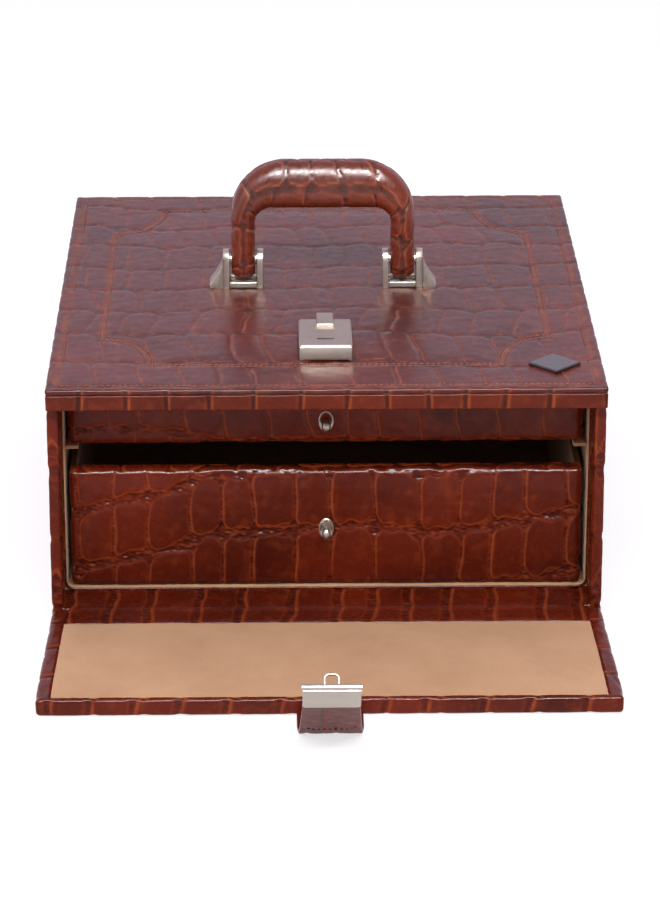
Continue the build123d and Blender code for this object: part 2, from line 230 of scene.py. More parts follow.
def ring_quads(rings, sides):
    """The numbers of the points of closed rings, those of their neighbours, and the faces between them."""
    index = np.arange(rings * sides).reshape(rings, sides)
    after = np.roll(index, -1, axis=1)
    return index, after, np.stack([index[:-1], after[:-1], after[1:], index[1:]], -1).reshape(-1, 4)


def rounded_box(low, high, radius, steps):
    """Points, outward normals and faces of a box with rounded edges."""
    low, high = np.asarray(low, float), np.asarray(high, float)
    lines = [grid_lines(low[a], high[a], radius, steps[a]) for a in range(3)]
    points, faces, start = [], [], 0
    for axis in range(3):
        a, b = (axis + 1) % 3, (axis + 2) % 3
        for end in (low, high):
            first, second = np.meshgrid(lines[a], lines[b], indexing="ij")
            sheet = np.empty(first.shape + (3,))
            sheet[..., a] = first
            sheet[..., b] = second
            sheet[..., axis] = end[axis]
            index = start + np.arange(first.size).reshape(first.shape)
            start += first.size
            quads = grid_quads(index)
            points.append(sheet.reshape(-1, 3))
            faces.append(quads if end is high else quads[:, ::-1])
    points, faces = joined(np.concatenate(points), np.concatenate(faces))
    core = np.clip(points, low + radius, high - radius)
    normals = points - core
    normals /= np.linalg.norm(normals, axis=1)[:, None]
    return core + radius * normals, normals, faces


def make(name, points, faces, material, body=None, replaced=(), tone=None, mark=None, smooth_shade=True):
    """A mesh object from points in millimetres, with its tone and mark values for the colour (tone holds painted
    highlight and shade, and the top's real worn strips), riding on a body.
    """
    mesh = bpy.data.meshes.new(name)
    mesh.from_pydata((np.asarray(points) * MM).tolist(), [], [[int(i) for i in f] for f in faces])
    for key, values in (("tone", tone), ("mark", mark)):
        if values is not None:
            mesh.attributes.new(key, "FLOAT", "POINT").data.foreach_set("value", np.asarray(values, np.float32))
    mesh.materials.append(material)
    mesh.validate()
    if smooth_shade:
        mesh.shade_smooth()
    obj = bpy.data.objects.new(name, mesh)
    bpy.context.scene.collection.objects.link(obj)
    if body:
        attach(obj, body)
    if replaced:
        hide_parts(*replaced)
    return obj


def skin(name, low, high, radius, steps, styles, material, body, replaced=(), shape=None, warp=None):
    """A closed leather panel: a rounded box embossed on each side by the style given for that side."""
    points, normals, faces = rounded_box(low, high, radius, steps)
    x, y, z = points.T
    height = np.zeros(len(points))
    tone = np.zeros(len(points))
    mark = np.zeros(len(points))
    share = np.abs(normals) ** 3
    share /= share.sum(1)[:, None]
    for axis, (u, v) in enumerate(((y, z), (x, z), (x, y))):
        if styles[axis] is None:
            continue
        h, t, m = embossed(u, v, styles[axis])
        height += share[:, axis] * h
        tone += share[:, axis] * t
        mark += share[:, axis] * m
    if shape:
        extra, tone = shape(points, normals, tone)
        height += extra
    points = points + normals * height[:, None]
    if warp:
        points = warp(points)
    return make(name, points, faces, material, body, replaced, tone, mark)


def suede_panel(name, low, high, radius, step, body, replaced=(), join=(), warp=None):
    """A thin suede-covered card, not quite flat."""
    parts = [rounded_box(low, high, radius, (step,) * 3)]
    for other in join:
        parts.append(rounded_box(other[0], other[1], radius, (step,) * 3))
    points, faces, start = [], [], 0
    for p, n, f in parts:
        uneven = 0.1 * ripple(tuple(p.T), 45, 7) + 0.05 * ripple(tuple(p.T), 14, 8)
        points.append(p + n * uneven[:, None])
        faces.append(f + start)
        start += len(p)
    points = np.concatenate(points)
    if warp:
        points = warp(points)
    return make(name, points, np.concatenate(faces), SUEDE, body, replaced)


def stitches(name, path, pitch, body, up=(0, 0, 1), size=(1.15, 0.3, 0.24), closed=False, material=None):
    """A row of stitches along a path of points, each a small lens of thread."""
    path = np.asarray(path, float)
    if closed:
        path = np.vstack([path, path[:1]])
    gaps = np.linalg.norm(np.diff(path, axis=0), axis=1)
    reach = np.concatenate([[0], np.cumsum(gaps)])
    count = int(reach[-1] / pitch)
    at = (np.arange(count) + 0.5) * reach[-1] / count

    def place(distance):
        return np.stack([np.interp(distance, reach, path[:, a]) for a in range(3)], 1)

    middle, nearby = place(at), 0.3
    ahead = place(at + nearby) - place(at - nearby)
    ahead /= np.linalg.norm(ahead, axis=1)[:, None]
    up = np.broadcast_to(np.asarray(up, float), middle.shape)
    side = np.cross(up, ahead)
    points = []
    for share, girth in ((-1.0, 0.25), (-0.6, 1.0), (0.6, 1.0), (1.0, 0.25)):
        for a in np.arange(6) * math.pi / 3:
            points.append(
                middle
                + ahead * share * size[0]
                + side * math.cos(a) * size[1] * girth
                + up * (math.sin(a) * size[2] * girth - 0.12 * abs(share))
            )
    points = np.stack(points, 1)
    pattern = ring_quads(4, 6)[2].tolist()
    caps = [list(range(6))[::-1], list(range(18, 24))]
    faces = [[i + n * 24 for i in f] for n in range(count) for f in pattern + caps]
    make(name, points.reshape(-1, 3), faces, material or THREAD, body)


# ---------------------------------------------------------------- materials


class Nodes:
    """A material's node tree with short ways to add and link nodes."""

    def __init__(self, name):
        self.material = bpy.data.materials.new(name)
        self.material.use_nodes = True
        self.tree = self.material.node_tree
        self.shader = self.tree.nodes["Principled BSDF"]

    def add(self, kind, **inputs):
        node = self.tree.nodes.new("ShaderNode" + kind)
        for key, value in inputs.items():
            if key in node.inputs.keys():
                self.put(node.inputs[key], value)
            else:
                setattr(node, key, value)
        return node

    def put(self, socket, value):
        if isinstance(value, bpy.types.NodeSocket):
            self.tree.links.new(value, socket)
        else:
            socket.default_value = value

    def set(self, **values):
        for key, value in values.items():
            self.put(self.shader.inputs[key.replace("_", " ")], value)

    def value(self, name):
        return self.add("Attribute", attribute_name=name).outputs["Fac"]

    def noise(self, scale, detail=4.0, roughness=0.55):
        node = self.add("TexNoise", Scale=scale, Detail=detail, Roughness=roughness)
        self.tree.links.new(self.coords(), node.inputs["Vector"])
        return node.outputs["Fac"]

    def coords(self):
        return self.add("TexCoord").outputs["Object"]

    def fit(self, value, low, high, to_low, to_high):
        node = self.add("MapRange")
        for key, number in zip(("From Min", "From Max", "To Min", "To Max"), (low, high, to_low, to_high)):
            node.inputs[key].default_value = number
        self.put(node.inputs["Value"], value)
        return node.outputs["Result"]

    def math(self, operation, a, b=0.0):
        node = self.add("Math", operation=operation)
        self.put(node.inputs[0], a)
        self.put(node.inputs[1], b)
        return node.outputs[0]

    def mix(self, share, a, b):
        node = self.add("Mix", data_type="RGBA")
        self.put(node.inputs["Factor"], share)
        self.put(node.inputs[6], a)
        self.put(node.inputs[7], b)
        return node.outputs[2]

    def bump(self, height, strength, distance, under=None):
        node = self.add("Bump")
        node.inputs["Strength"].default_value = strength
        node.inputs["Distance"].default_value = distance
        self.put(node.inputs["Height"], height)
        if under is not None:
            self.put(node.inputs["Normal"], under)
        return node.outputs["Normal"]


def colour(red, green, blue):
    """A colour from values between 0 and 255 as they look on a screen."""
    shares = [c / 255 for c in (red, green, blue)]
    return (*(c / 12.92 if c <= 0.04045 else ((c + 0.055) / 1.055) ** 2.4 for c in shares), 1.0)


def leather_material(name, dark, deep, plain, light, gloss=(0.2, 0.32), shine=0.15, grain=1.0):
    """Embossed leather: deep red scales, fine pores and creases, with painted highlight on the scales' edges and
    painted shade in the grooves.
    """
    m = Nodes(name)
    tone = m.value("tone")
    patches = m.noise(12, 3)
    blotches = m.noise(120, 5, 0.6)
    pores = m.noise(1500, 3, 0.6)
    scale_colour = m.mix(m.fit(patches, 0.35, 0.65, 0, 1), deep, plain)
    scale_colour = m.mix(m.math("MULTIPLY", m.value("mark"), 0.4), scale_colour, plain)
    scale_colour = m.mix(m.fit(blotches, 0.52, 0.8, 0, 0.3), scale_colour, light)
    # Tone below 0 is painted shade, mixed towards the dark colour; tone above 0 is painted highlight, and on the top
    # also real worn strips, mixed towards the light colour.
    scale_colour = m.mix(m.fit(tone, 0, -1, 0, 0.85), scale_colour, dark)
    rub = m.math("MULTIPLY", m.fit(tone, 0, 1, 0, 0.8), m.fit(blotches, 0.35, 0.65, 0.5, 1.0))
    m.set(
        Base_Color=m.mix(rub, scale_colour, light),
        Roughness=m.math("ADD", m.fit(m.noise(320, 3), 0.3, 0.7, gloss[0], gloss[1]), m.fit(tone, 0, 1, 0, 0.25)),
        Specular_IOR_Level=shine,
    )
    m.set(Normal=m.bump(m.noise(420, 4, 0.6), 0.25 * grain, 0.0003, m.bump(pores, 0.2 * grain, 0.0002)))
    return m.material


def suede_material():
    """Short-napped suede with faint strokes and a soft sheen."""
    m = Nodes("tan_suede")
    strokes = m.noise(22, 5, 0.6)
    nap = m.noise(900, 4, 0.7)
    base = m.mix(m.fit(strokes, 0.3, 0.7, 0, 1), colour(184, 137, 92), colour(203, 158, 114))
    base = m.mix(m.fit(nap, 0.35, 0.7, 0, 0.5), base, colour(176, 126, 84))
    m.set(Base_Color=base, Roughness=0.95, Specular_IOR_Level=0.1, Sheen_Weight=0.25, Sheen_Roughness=0.6)
    m.set(Normal=m.bump(nap, 0.5, 0.0004, m.bump(strokes, 0.25, 0.001)))
    return m.material


def metal_material(name, tint, roughness, brushed=(900, 900, 900), depth=0.12):
    """Plated metal with a fine satin grain."""
    m = Nodes(name)
    mapping = m.add("Mapping")
    mapping.inputs["Scale"].default_value = brushed
    m.tree.links.new(m.coords(), mapping.inputs["Vector"])
    grain = m.add("TexNoise", Scale=1.0, Detail=4.0)
    m.tree.links.new(mapping.outputs["Vector"], grain.inputs["Vector"])
    haze = m.noise(60, 3)
    m.set(
        Base_Color=m.mix(m.fit(haze, 0.3, 0.7, 0, 1), tint, tuple(0.9 * c for c in tint[:3]) + (1.0,)),
        Metallic=1.0,
        Roughness=m.fit(grain.outputs["Fac"], 0.3, 0.7, roughness - 0.05, roughness + 0.08),
    )
    m.set(Normal=m.bump(grain.outputs["Fac"], depth, 0.0001))
    return m.material


def wood_material(name, stretch):
    """Plain pale board with a straight grain."""
    m = Nodes(name)
    mapping = m.add("Mapping")
    mapping.inputs["Scale"].default_value = stretch
    m.tree.links.new(m.coords(), mapping.inputs["Vector"])
    grain = m.add("TexNoise", Scale=1.0, Detail=6.0, Distortion=0.6)
    m.tree.links.new(mapping.outputs["Vector"], grain.inputs["Vector"])
    fibre = grain.outputs["Fac"]
    m.set(Base_Color=m.mix(m.fit(fibre, 0.35, 0.65, 0, 1), colour(112, 78, 52), colour(150, 110, 76)), Roughness=0.6)
    m.set(Normal=m.bump(fibre, 0.2, 0.0003))
    return m.material


def thread_material(name, shade):
    """Waxed thread, twisted."""
    m = Nodes(name)
    strand = m.noise(2600, 2)
    m.set(Base_Color=m.mix(strand, shade, tuple(0.6 * c for c in shade[:3]) + (1.0,)), Roughness=0.6)
    m.set(Normal=m.bump(strand, 0.4, 0.0002))
    return m.material


# The colour of the painted shade in the leather's grooves, creases and seams.
PAINTED_SHADE = colour(30, 8, 6)
LEATHER = leather_material("croc_leather", PAINTED_SHADE, colour(68, 16, 5), colour(101, 29, 9), colour(160, 70, 28))
TOP_LEATHER = leather_material(
    "croc_leather_top", PAINTED_SHADE, colour(62, 13, 6), colour(94, 25, 11), colour(164, 90, 60), (0.3, 0.4), 0.26, 0.3
)
BAND = leather_material("croc_leather_band", PAINTED_SHADE, colour(72, 18, 6), colour(102, 33, 10), colour(166, 78, 34))
STRAP_LEATHER = leather_material(
    "croc_leather_strap", PAINTED_SHADE, colour(70, 18, 14), colour(92, 26, 18), colour(140, 66, 52), (0.26, 0.36), 0.14, 0.3
)
GRIP = leather_material(
    "croc_leather_grip", PAINTED_SHADE, colour(78, 22, 7), colour(118, 40, 12), colour(176, 84, 38), (0.24, 0.46), 0.5, 1.5
)
SUEDE = suede_material()
NICKEL = metal_material("satin_nickel", colour(178, 168, 157), 0.36)
STEEL = metal_material("plain_steel", colour(160, 160, 160), 0.35)
GUNMETAL = metal_material("gunmetal", colour(104, 100, 102), 0.32)
WOOD = wood_material("box_board", (14, 220, 220))
SIDE_WOOD = wood_material("drawer_side_board", (220, 14, 220))
THREAD = thread_material("brown_thread", colour(164, 92, 66))
DARK_THREAD = thread_material("dark_thread", colour(34, 14, 14))

CAD_MATERIALS = {
    "board": WOOD,
    "nickel": NICKEL,
    "steel": STEEL,
    "spring_steel": STEEL,
    "gunmetal": GUNMETAL,
    "suede": SUEDE,
    "leather": LEATHER,
}
for part in frame["record"]["subparts"]:
    node = frame["nodes"][part["node"]]
    node.data.materials.clear()
    lengthwise = part["node"].endswith("drawer_sides")
    node.data.materials.append(SIDE_WOOD if lengthwise else CAD_MATERIALS[part["material_slot"]])

# ---------------------------------------------------------------- the case's covering

TOP_ROWS = FRONT + np.array([-60, 3, 44, 93, 136, 178, 219, 262, 299, 341, 400])
top_style = style(
    TOP_ROWS, 23.5, 11, gaps=(1.0, 0.5), corner=6, lean=0.1, sway=4.5, relief=0.42, crease=0.08, line=0.55
)
edge_style = style(
    plain_rows(120, 5), 26.5, 21, gaps=(0.6, 1.2), corner=2, lean=0.05, sway=0, relief=0.35, crease=0.15,
    line=0.8, rubbed=0.0,
)
wall_style = style(plain_rows(34, 6), 27, 23, gaps=(1.2, 0.6), corner=6, lean=0.15, sway=5, relief=0.6, crease=0.15)
ledge_style = style(
    FRONT + np.array([-80, -30, 80]), 24.5, 25, gaps=(0.8, 2.2), corner=5, lean=0.04, sway=2, relief=0.55,
    crease=0.35, rubbed=0.5,
)
wall_edge_style = style(
    [-60, 26, 106, 220], 60, 33, gaps=(9, 0.5), corner=2, lean=0.4, sway=6, relief=0.35, crease=0.3, rubbed=0.6
)

frame_half = 130.0
frame_low = FRONT + 42
frame_high = FRONT + 334
notch = (30.0, 48.0)


def ticket_frame(inset):
    """The stitched frame on the top: a rectangle whose corners are scooped inwards."""
    corners = []
    for sx, sy in ((1, -1), (1, 1), (-1, 1), (-1, -1)):
        cx, cy = sx * (frame_half - inset), (frame_low + inset if sy < 0 else frame_high - inset)
        angles = np.linspace(0, math.pi / 2, 15)
        scoop = np.stack([cx - sx * notch[0] * np.sin(angles), cy - sy * notch[1] * np.cos(angles)], 1)
        corners.append(scoop if sx * sy > 0 else scoop[::-1])
    corners = np.concatenate(corners)
    return np.column_stack([corners, np.full(len(corners), TOP)])


def inside_frame(x, y):
    """How far a point of the top lies inside the stitched frame."""
    flat = np.minimum(frame_half - np.abs(x), np.minimum(y - frame_low, frame_high - y))
    dx = (frame_half - np.abs(x)) / notch[0]
    dy = np.minimum(y - frame_low, frame_high - y) / notch[1]
    scoop = (np.hypot(dx, dy) - 1) * 0.8 * notch[0]
    return np.minimum(flat, scoop)


def top_shape(points, normals, tone):
    """The padded middle, the seams pressed in by the stitching with painted shade along them, the worn strips and the
    lock's place.
    """
    x, y = points[:, 0], points[:, 1]
    level = smooth(normals[:, 2], 0.3, 0.9)
    within = inside_frame(x, y)
    pad = 0.75 * smooth(within, -2, 16)
    seam = -0.3 * (near(within, 1.3) + near(within + FRAME_GAP, 1.3))
    rim = np.minimum(HALF_WIDTH - np.abs(x), np.minimum(y - FRONT, BACK - y))
    edge_seam = -0.25 * near(rim - SEAM, 1.2)
    under_lock = smooth(15.5 - np.abs(x), 0, 1) * smooth(22.5 - np.abs(y - LOCK_MIDDLE), 0, 1)
    height = level * ((pad + seam + edge_seam - 0.2) * (1 - under_lock) - 1.1 * under_lock)
    worn = 0.8 * near(within + FRAME_GAP / 2, 2.9, 4) + 0.55 * near(rim - SEAM + 1, 2.6, 4)
    # Painted shade along the seams pressed in by the stitching.
    dark = 0.8 * (near(within, 0.9) + near(within + FRAME_GAP, 0.9) + near(rim - SEAM, 0.9))
    return height, np.clip(tone * (1 - 0.5 * worn) + level * (worn - dark), -1, 1)


skin(
    "top_panel",
    (-HALF_WIDTH, FRONT, TOP - LIP),
    (HALF_WIDTH, BACK, TOP),
    1.5,
    (0.85, 1.5, 1.0),
    (edge_style, edge_style, top_style),
    TOP_LEATHER,
    "case",
    ["top_leather"],
    top_shape,
)
skin(
    "front_band",
    (-HALF_WIDTH + 0.1, FRONT + 0.1, BAND_LOW[2]),
    (HALF_WIDTH - 0.1, FRONT + 8.4, TOP - LIP),
    0.9,
    (0.7, 1.5, 0.9),
    (edge_style, edge_style, None),
    BAND,
    "case",
    ["front_rail_leather"],
)
skin(
    "recess_ceiling",
    (-HALF_WIDTH + WALL, FRONT + 8.0, BAND_HIGH[2] - 7.5),
    (HALF_WIDTH - WALL, SUEDE_FRONT, BAND_HIGH[2] - 6.3),
    0.5,
    (3, 2, 1),
    (None, None, wall_style),
    LEATHER,
    "case",
)
for side, word in ((-1, "left"), (1, "right")):
    outer, inner = side * HALF_WIDTH, side * (HALF_WIDTH - WALL)
    skin(
        f"{word}_wall",
        (min(outer, inner), EDGE_FRONT, 0.0),
        (max(outer, inner), BACK, TOP - LIP),
        1.3,
        (1.0, 1.6, 1.2),
        (wall_style, wall_edge_style, None),
        LEATHER,
        "case",
        [f"{word}_side_leather"],
        lambda points, normals, tone: (-0.3 * smooth(-normals[:, 1], 0.3, 0.8), tone),
    )
skin(
    "back_panel",
    (-HALF_WIDTH + 1.5, BACK - 2.4, 0.0),
    (HALF_WIDTH - 1.5, BACK, TOP - LIP),
    1.0,
    (1.6, 1.2, 1.6),
    (None, wall_style, None),
    LEATHER,
    "case",
    ["back_leather"],
)


def base_shape(points, normals, tone):
    """The ledge stands a little proud, and dips under the suede behind it."""
    under_suede = smooth(points[:, 1], SUEDE_FRONT - 1, SUEDE_FRONT + 4) * (normals[:, 2] > 0.5)
    return 0.2 - 0.7 * under_suede, tone


skin(
    "base_panel",
    (-HALF_WIDTH + WALL - 2.2, EDGE_FRONT + 0.3, 0.0),
    (HALF_WIDTH - WALL + 2.2, BACK - 1, BASE_HIGH[2]),
    1.6,
    (0.9, 1.3, 1.2),
    (None, ledge_style, ledge_style),
    LEATHER,
    "case",
    ["base_leather"],
    base_shape,
)

# ---------------------------------------------------------------- suede inside the compartment

for word in ("left", "right"):
    low, high = node_box(f"{word}_wall_lining")
    suede_panel(f"{word}_suede", low, high, 0.6, 5, "case", [f"{word}_wall_lining"])
    low, high = node_box(f"{word}_runner")
    suede_panel(f"{word}_runner_cover", low, high, 0.6, 5, "case", [f"{word}_runner"])
for word in ("floor", "back_wall", "ceiling"):
    low, high = node_box(f"{word}_lining")
    suede_panel(f"{word}_suede", low, high, 0.6, 6, "case", [f"{word}_lining"])


def tube(path, half_width, half_height, sides, up):
    """Points and faces of a closed bar with an oval section, swept along a path."""
    path = np.asarray(path, float)
    ahead = np.gradient(path, axis=0)
    ahead /= np.linalg.norm(ahead, axis=1)[:, None]
    up = np.broadcast_to(np.asarray(up, float), path.shape)
    across = np.cross(ahead, up)
    across /= np.linalg.norm(across, axis=1)[:, None]
    angles = np.arange(sides) * 2 * math.pi / sides
    points = path[:, None] + across[:, None] * (half_width * np.cos(angles))[None, :, None]
    points = points + up[:, None] * (half_height * np.sin(angles))[None, :, None]
    index, after, quads = ring_quads(len(path), sides)
    middles = np.stack([path[0], path[-1]])
    first = len(path) * sides
    caps = [[first, after[0, k], index[0, k]] for k in range(sides)]
    caps += [[first + 1, index[-1, k], after[-1, k]] for k in range(sides)]
    return np.concatenate([points.reshape(-1, 3), middles]), quads.tolist() + caps


def arc(centre, radius, start, end, count=10):
    """Points on an arc in a plane, angles in degrees."""
    angles = np.radians(np.linspace(start, end, count))
    return np.stack([centre[0] + radius * np.cos(angles), centre[1] + radius * np.sin(angles)], 1)


rim_x = HALF_WIDTH - WALL - 0.75
rim_low, rim_high = BASE_HIGH[2] + 1.1, TOP - 10.5
rim_corner = 5.0
rim_path = np.concatenate(
    [
        [[-rim_x, rim_high], [-rim_x, 90], [-rim_x, 50]],
        arc((-rim_x + rim_corner, rim_low + rim_corner), rim_corner, 180, 270),
        [[x, rim_low] for x in (-100, -50, 0, 50, 100)],
        arc((rim_x - rim_corner, rim_low + rim_corner), rim_corner, 270, 360),
        [[rim_x, 50], [rim_x, 90], [rim_x, rim_high]],
    ]
)
rim_path = np.column_stack([rim_path[:, 0], np.full(len(rim_path), SUEDE_FRONT - 0.1), rim_path[:, 1]])
points, faces = tube(rim_path, 0.42, 0.8, 12, (0, 1, 0))
make("suede_rim", points, faces, SUEDE, "case")
welt_path = rim_path.copy()
welt_path[:, 0] += 0.7 * np.sign(rim_path[:, 0]) * smooth(np.abs(rim_path[:, 0]), rim_x - rim_corner, rim_x)
welt_path[:, 2] -= 0.65 * (1 - smooth(rim_path[:, 2], rim_low, rim_low + rim_corner))
welt_path[:, 1] -= 0.7
points, faces = tube(welt_path, 0.75, 0.75, 12, (0, 1, 0))
plain = np.zeros(len(points))
make("rim_welt", points, faces, LEATHER, "case", tone=plain, mark=plain)

# ---------------------------------------------------------------- drawers


def drawer(word, look):
    """A drawer's padded leather front and its suede tray."""
    low, high = node_box(f"{word}_drawer_front_leather")

    def padded(points, normals, tone):
        x, y, z = points.T
        inward = np.minimum(np.minimum(x - low[0], high[0] - x), np.minimum(z - low[2], high[2] - z))
        return 0.35 + 0.6 * smooth(inward, 0, 14) * (normals[:, 1] < -0.7), tone

    skin(
        f"{word}_front",
        low,
        high,
        3.6,
        (0.62, 1.0, 0.62),
        (look, look, wall_style),
        LEATHER,
        f"{word}_drawer",
        [f"{word}_drawer_front_leather"],
        padded,
    )
    low, high = node_box(f"{word}_drawer_lining")
    thick = 1.5
    walls = [
        (low, (low[0] + thick, high[1], high[2])),
        ((high[0] - thick, low[1], low[2]), high),
        (low, (high[0], low[1] + thick, high[2])),
        ((low[0], high[1] - thick, low[2]), high),
    ]
    floor_high = (high[0], high[1], low[2] + thick)
    suede_panel(f"{word}_tray", low, floor_high, 0.5, 8, f"{word}_drawer", [f"{word}_drawer_lining"], walls)


def lower_bend(x):
    """The height of the lower front's main wrinkled band, which climbs from the left and then runs level."""
    return np.interp(x, [-150, -121, -97, -70, -40, 20, 70, 100, 145], [21, 29, 35, 44, 45, 48, 46, 51, 60])


def upper_bend(x):
    """The height of the upper front's ridge, low on the front and lower towards the right."""
    return 107.5 - 6.5 * smooth(x, -80, -55)


lower_look = style(
    [-75, -38, 0, 37, 80], 22.5, 61, gaps=(2.3, 0.5), corner=6, lean=0.1, sway=1.6, relief=0.75, rise=2.0,
    crease=0.42, line=0.55, rubbed=0.75, bend=lower_bend, aligned=True,
)
upper_look = style(
    [-40, 0, 70], 24, 71, gaps=(1.6, 0.4), corner=3, lean=0.12, sway=1.5, relief=0.55, crease=0.35,
    line=0.5, rubbed=0.65, bend=upper_bend,
)
drawer("lower", lower_look)
drawer("upper", upper_look)

# ---------------------------------------------------------------- flap and hinge strip

flap_edge = style(
    plain_rows(120, 12), 27, 81, gaps=(0.6, 1.6), corner=2, lean=0.25, sway=0, relief=0.7, crease=0.4, rubbed=0.5
)
flap_outer = style(plain_rows(36, 14), 25, 83, gaps=(1.2, 0.7), corner=6, sway=4)
suede_low, suede_high = node_box("flap_lining")


def flare(points):
    """The flap is a little wider at its free edge than at its hinge."""
    x, y, z = points.T
    return np.column_stack([x * (1 + 0.015 * smooth(-y, -FLAP_HIGH[1], -FLAP_LOW[1])), y, z])


def flap_shape(points, normals, tone):
    """A shallow bed for the suede in the flap's inner face."""
    x, y, z = points.T
    inside = np.minimum(suede_high[0] - np.abs(x), y - suede_low[1])
    return -1.0 * smooth(inside, -0.3, 0.8) * (normals[:, 2] > 0.6), tone


skin(
    "flap_cover",
    FLAP_LOW,
    FLAP_HIGH,
    2.2,
    (0.9, 0.9, 1.0),
    (flap_edge, flap_edge, flap_outer),
    LEATHER,
    "flap",
    ["flap_leather"],
    flap_shape,
    flare,
)
suede_panel(
    "flap_suede",
    (suede_low[0] + 0.2, suede_low[1] + 0.2, suede_low[2] + 0.2),
    (suede_high[0] - 0.2, suede_high[1], suede_high[2] + 0.1),
    0.7,
    3.0,
    "flap",
    ["flap_lining"],
    warp=flare,
)

hinge_low = node_box("hinge_leather")[0]
steps_x = np.arange(-150, 150.1, 1.0)
across = [np.linspace(EDGE_FRONT + 1.5, HINGE[1] - 1, 6), np.linspace(HINGE[1] - 1.4, hinge_low[1] - 0.5, 30)]
across = np.concatenate(across)
sheet_x, sheet_y = np.meshgrid(steps_x, across, indexing="ij")
h, t, m = embossed(sheet_x, sheet_y, ledge_style)
dip = -0.8 * near(sheet_y - HINGE[1] + 2, 2.0)
end = smooth(sheet_y, hinge_low[1] - 0.5, hinge_low[1] + 2)
ridge = near(sheet_y - HINGE[1] + 4.5, 0.7)
sheet_z = HINGE[2] + 0.35 + 0.5 * h + dip + ridge + 0.5 * (1 - smooth(sheet_y, HINGE[1] - 4, HINGE[1])) * end
upper = np.stack([sheet_x, sheet_y, sheet_z], -1)
lower = upper - (0, 0, 0.9)
count = upper.shape[0] * upper.shape[1]
index = np.arange(count).reshape(upper.shape[:2])
quads = grid_quads(index)
edge_loop = np.concatenate([index[:, 0], index[-1, 1:], index[-2::-1, -1], index[0, -2:0:-1]])
sides = np.stack([edge_loop, edge_loop + count, np.roll(edge_loop, -1) + count, np.roll(edge_loop, -1)], -1)
hinge = make(
    "hinge_strip",
    np.concatenate([upper.reshape(-1, 3), lower.reshape(-1, 3)]),
    np.concatenate([quads, (quads + count)[:, ::-1], sides]),
    LEATHER,
    replaced=["hinge_leather"],
    tone=np.concatenate([t.ravel(), t.ravel()]),
    mark=np.concatenate([m.ravel(), m.ravel()]),
)
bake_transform(hinge)

# ---------------------------------------------------------------- strap and hasp

ALONG = np.array([0, -math.cos(TONGUE_LEAN), math.sin(TONGUE_LEAN)])
INWARD = np.array([0, math.sin(TONGUE_LEAN), math.cos(TONGUE_LEAN)])


def on_tongue(local):
    """Points given across, along and inward from the tongue, in the row frame."""
    local = np.asarray(local, float)
    return CREASE + local[:, :1] * np.array([1.0, 0, 0]) + local[:, 1:2] * ALONG + local[:, 2:3] * INWARD


strap_style = style([-200, -60, 200], 19, 91, gaps=(0.8, 0.5), corner=4, lean=0.02, sway=0.5, relief=0.35, crease=0.1)


def strap_points(local):
    """Strap points: behind the crease they lie along the flap, past it they climb along the tongue."""
    x, s, n = local.T
    bend = 3.0
    angle = TONGUE_LEAN * np.clip((s + bend) / (2 * bend), 0, 1)
    radius = 2 * bend / TONGUE_LEAN
    before, past = np.maximum(-bend - s, 0), np.maximum(s - bend, 0)
    y = CREASE[1] + bend + before - radius * np.sin(angle) - past * math.cos(TONGUE_LEAN)
    z = CREASE[2] + radius * (1 - np.cos(angle)) + past * math.sin(TONGUE_LEAN)
    return np.stack([x, y + n * np.sin(angle), z + n * np.cos(angle)], 1)


# The strap is made 32 mm wide, then scaled: wider at its root, narrower at the tongue's tip.
root_length, tongue_length = 45.8, 66.0
points, normals, faces = rounded_box((-16, -root_length, -2.6), (16, tongue_length, 0), 0.9, (0.5, 0.8, 0.6))
s = points[:, 1]
half_width = np.interp(s, [-45, -6, 0, 12, 40, 72], [18.4, 18.4, 17.6, 16.8, 15.7, 15.2])
local = np.column_stack([points[:, 0] * half_width / 16, s, points[:, 2]])
h, tone, mark = embossed(local[:, 0] + 9, local[:, 1], strap_style)
local[:, 2] += normals[:, 2] * h
outer_face = (normals[:, 2] < -0.5) * smooth(s, -4, 4)
# Painted highlight along one side of the crease line on the tongue's outer face, and a painted shade line beside it.
crease = near(local[:, 0] + 3.2, 0.7) - 0.8 * near(local[:, 0] + 4.6, 0.8)
tone = tone * (np.abs(normals[:, 2]) > 0.5) * (1 - outer_face) + outer_face * crease
local[:, 2] += outer_face * 0.25 * near(local[:, 0] + 4.2, 0.8)
strap = make(
    "strap",
    strap_points(local),
    faces,
    STRAP_LEATHER,
    replaced=["strap_tongue", "strap_root"],
    tone=tone,
    mark=mark,
)
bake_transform(strap)

# ---------------------------------------------------------------- handle

leg_low = 153.0


def arch(leg, bar, corner):
    """An outline of the handle from foot to foot: x of its leg, z of its bar and the corner's radius."""
    line = [[leg, z] for z in np.linspace(leg_low, bar - corner, 46)]
    line += arc((leg - corner, bar - corner), corner, 0, 90, 60)[1:].tolist()
    line += [[x, bar] for x in np.linspace(leg - corner, 0, 26)[1:]]
    line = np.array(line)
    return np.concatenate([line, (line[:-1] * (-1, 1))[::-1]])


